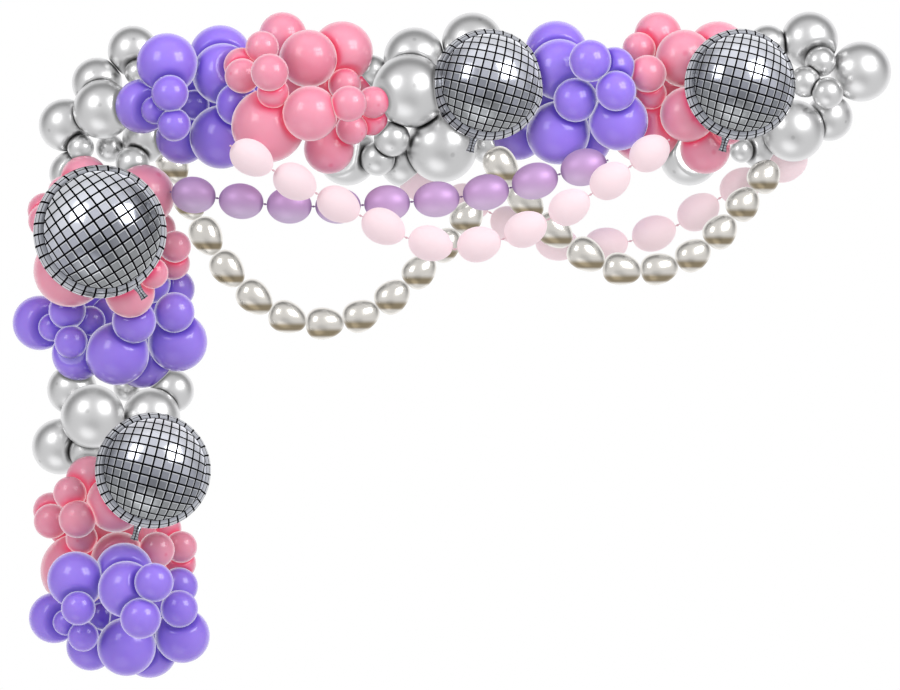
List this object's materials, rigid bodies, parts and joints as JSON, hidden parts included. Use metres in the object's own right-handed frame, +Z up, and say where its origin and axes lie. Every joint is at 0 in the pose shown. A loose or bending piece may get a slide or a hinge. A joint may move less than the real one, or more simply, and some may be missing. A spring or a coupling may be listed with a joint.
{
  "type": "balloon garland",
  "caption": "L-shaped corner balloon garland: bunched latex balloons along a top run and down a column, foil mirror balls, and draped strands of link balloons.",
  "frame": {"origin": "middle of the flat patch at the back of the corner balloon, on the wall plane", "axes": "+X to the right along the top run, +Y back into the wall, +Z up; the garland lies at negative Y"},
  "size_m": [3.2933, 0.8012, 2.4798],
  "materials": {
    "purple_latex": "glossy violet latex",
    "pink_latex": "glossy pink latex",
    "silver_latex": "chrome-silver latex, softly mirrored",
    "mirror_foil": "foil printed as a grid of mirror tiles",
    "lavender_pearl": "pearl lavender latex",
    "pale_pink_latex": "soft pale pink latex",
    "champagne_chrome": "champagne chrome latex"
  },
  "bodies": {
    "root": {"corner_silver_1": "silver_latex", "corner_silver_2": "silver_latex", "corner_silver_3": "silver_latex", "middle_silver_1": "silver_latex", "middle_silver_2": "silver_latex", "middle_silver_3": "silver_latex", "middle_silver_4": "silver_latex", "end_silver_1": "silver_latex", "end_silver_2": "silver_latex", "end_silver_3": "silver_latex", "end_silver_4": "silver_latex", "column_silver_1": "silver_latex", "column_silver_2": "silver_latex", "column_silver_3": "silver_latex", "corner_silver_4": "silver_latex", "foot_pink_1": "pink_latex", "foot_pink_2": "pink_latex", "foot_pink_3": "pink_latex", "foot_pink_4": "pink_latex", "right_pink_1": "pink_latex", "right_pink_2": "pink_latex", "left_purple_1": "purple_latex", "left_purple_2": "purple_latex", "right_purple_1": "purple_latex", "right_purple_2": "purple_latex", "column_purple_1": "purple_latex", "column_purple_2": "purple_latex", "column_purple_3": "purple_latex", "foot_purple_1": "purple_latex", "foot_purple_2": "purple_latex", "foot_purple_3": "purple_latex", "foot_purple_4": "purple_latex", "left_pink_1": "pink_latex", "left_pink_2": "pink_latex", "left_pink_3": "pink_latex", "left_pink_4": "pink_latex", "left_pink_5": "pink_latex", "column_pink_1": "pink_latex", "column_pink_2": "pink_latex", "column_pink_3": "pink_latex", "column_pink_4": "pink_latex", "column_pink_5": "pink_latex", "column_pink_6": "pink_latex", "mirror_ball_upper_column": "mirror_foil", "mirror_ball_middle": "mirror_foil", "mirror_ball_right": "mirror_foil", "mirror_ball_lower_column": "mirror_foil", "pale_pink_strand_back_1": "pale_pink_latex", "pale_pink_strand_back_2": "pale_pink_latex", "champagne_strand_left_1": "champagne_chrome", "champagne_strand_left_2": "champagne_chrome", "champagne_strand_left_3": "champagne_chrome", "champagne_strand_right_1": "champagne_chrome", "champagne_strand_right_2": "champagne_chrome", "lavender_strand_1": "lavender_pearl", "lavender_strand_2": "lavender_pearl", "pale_pink_strand_front_1": "pale_pink_latex", "pale_pink_strand_front_2": "pale_pink_latex"}
  },
  "joints": []
}
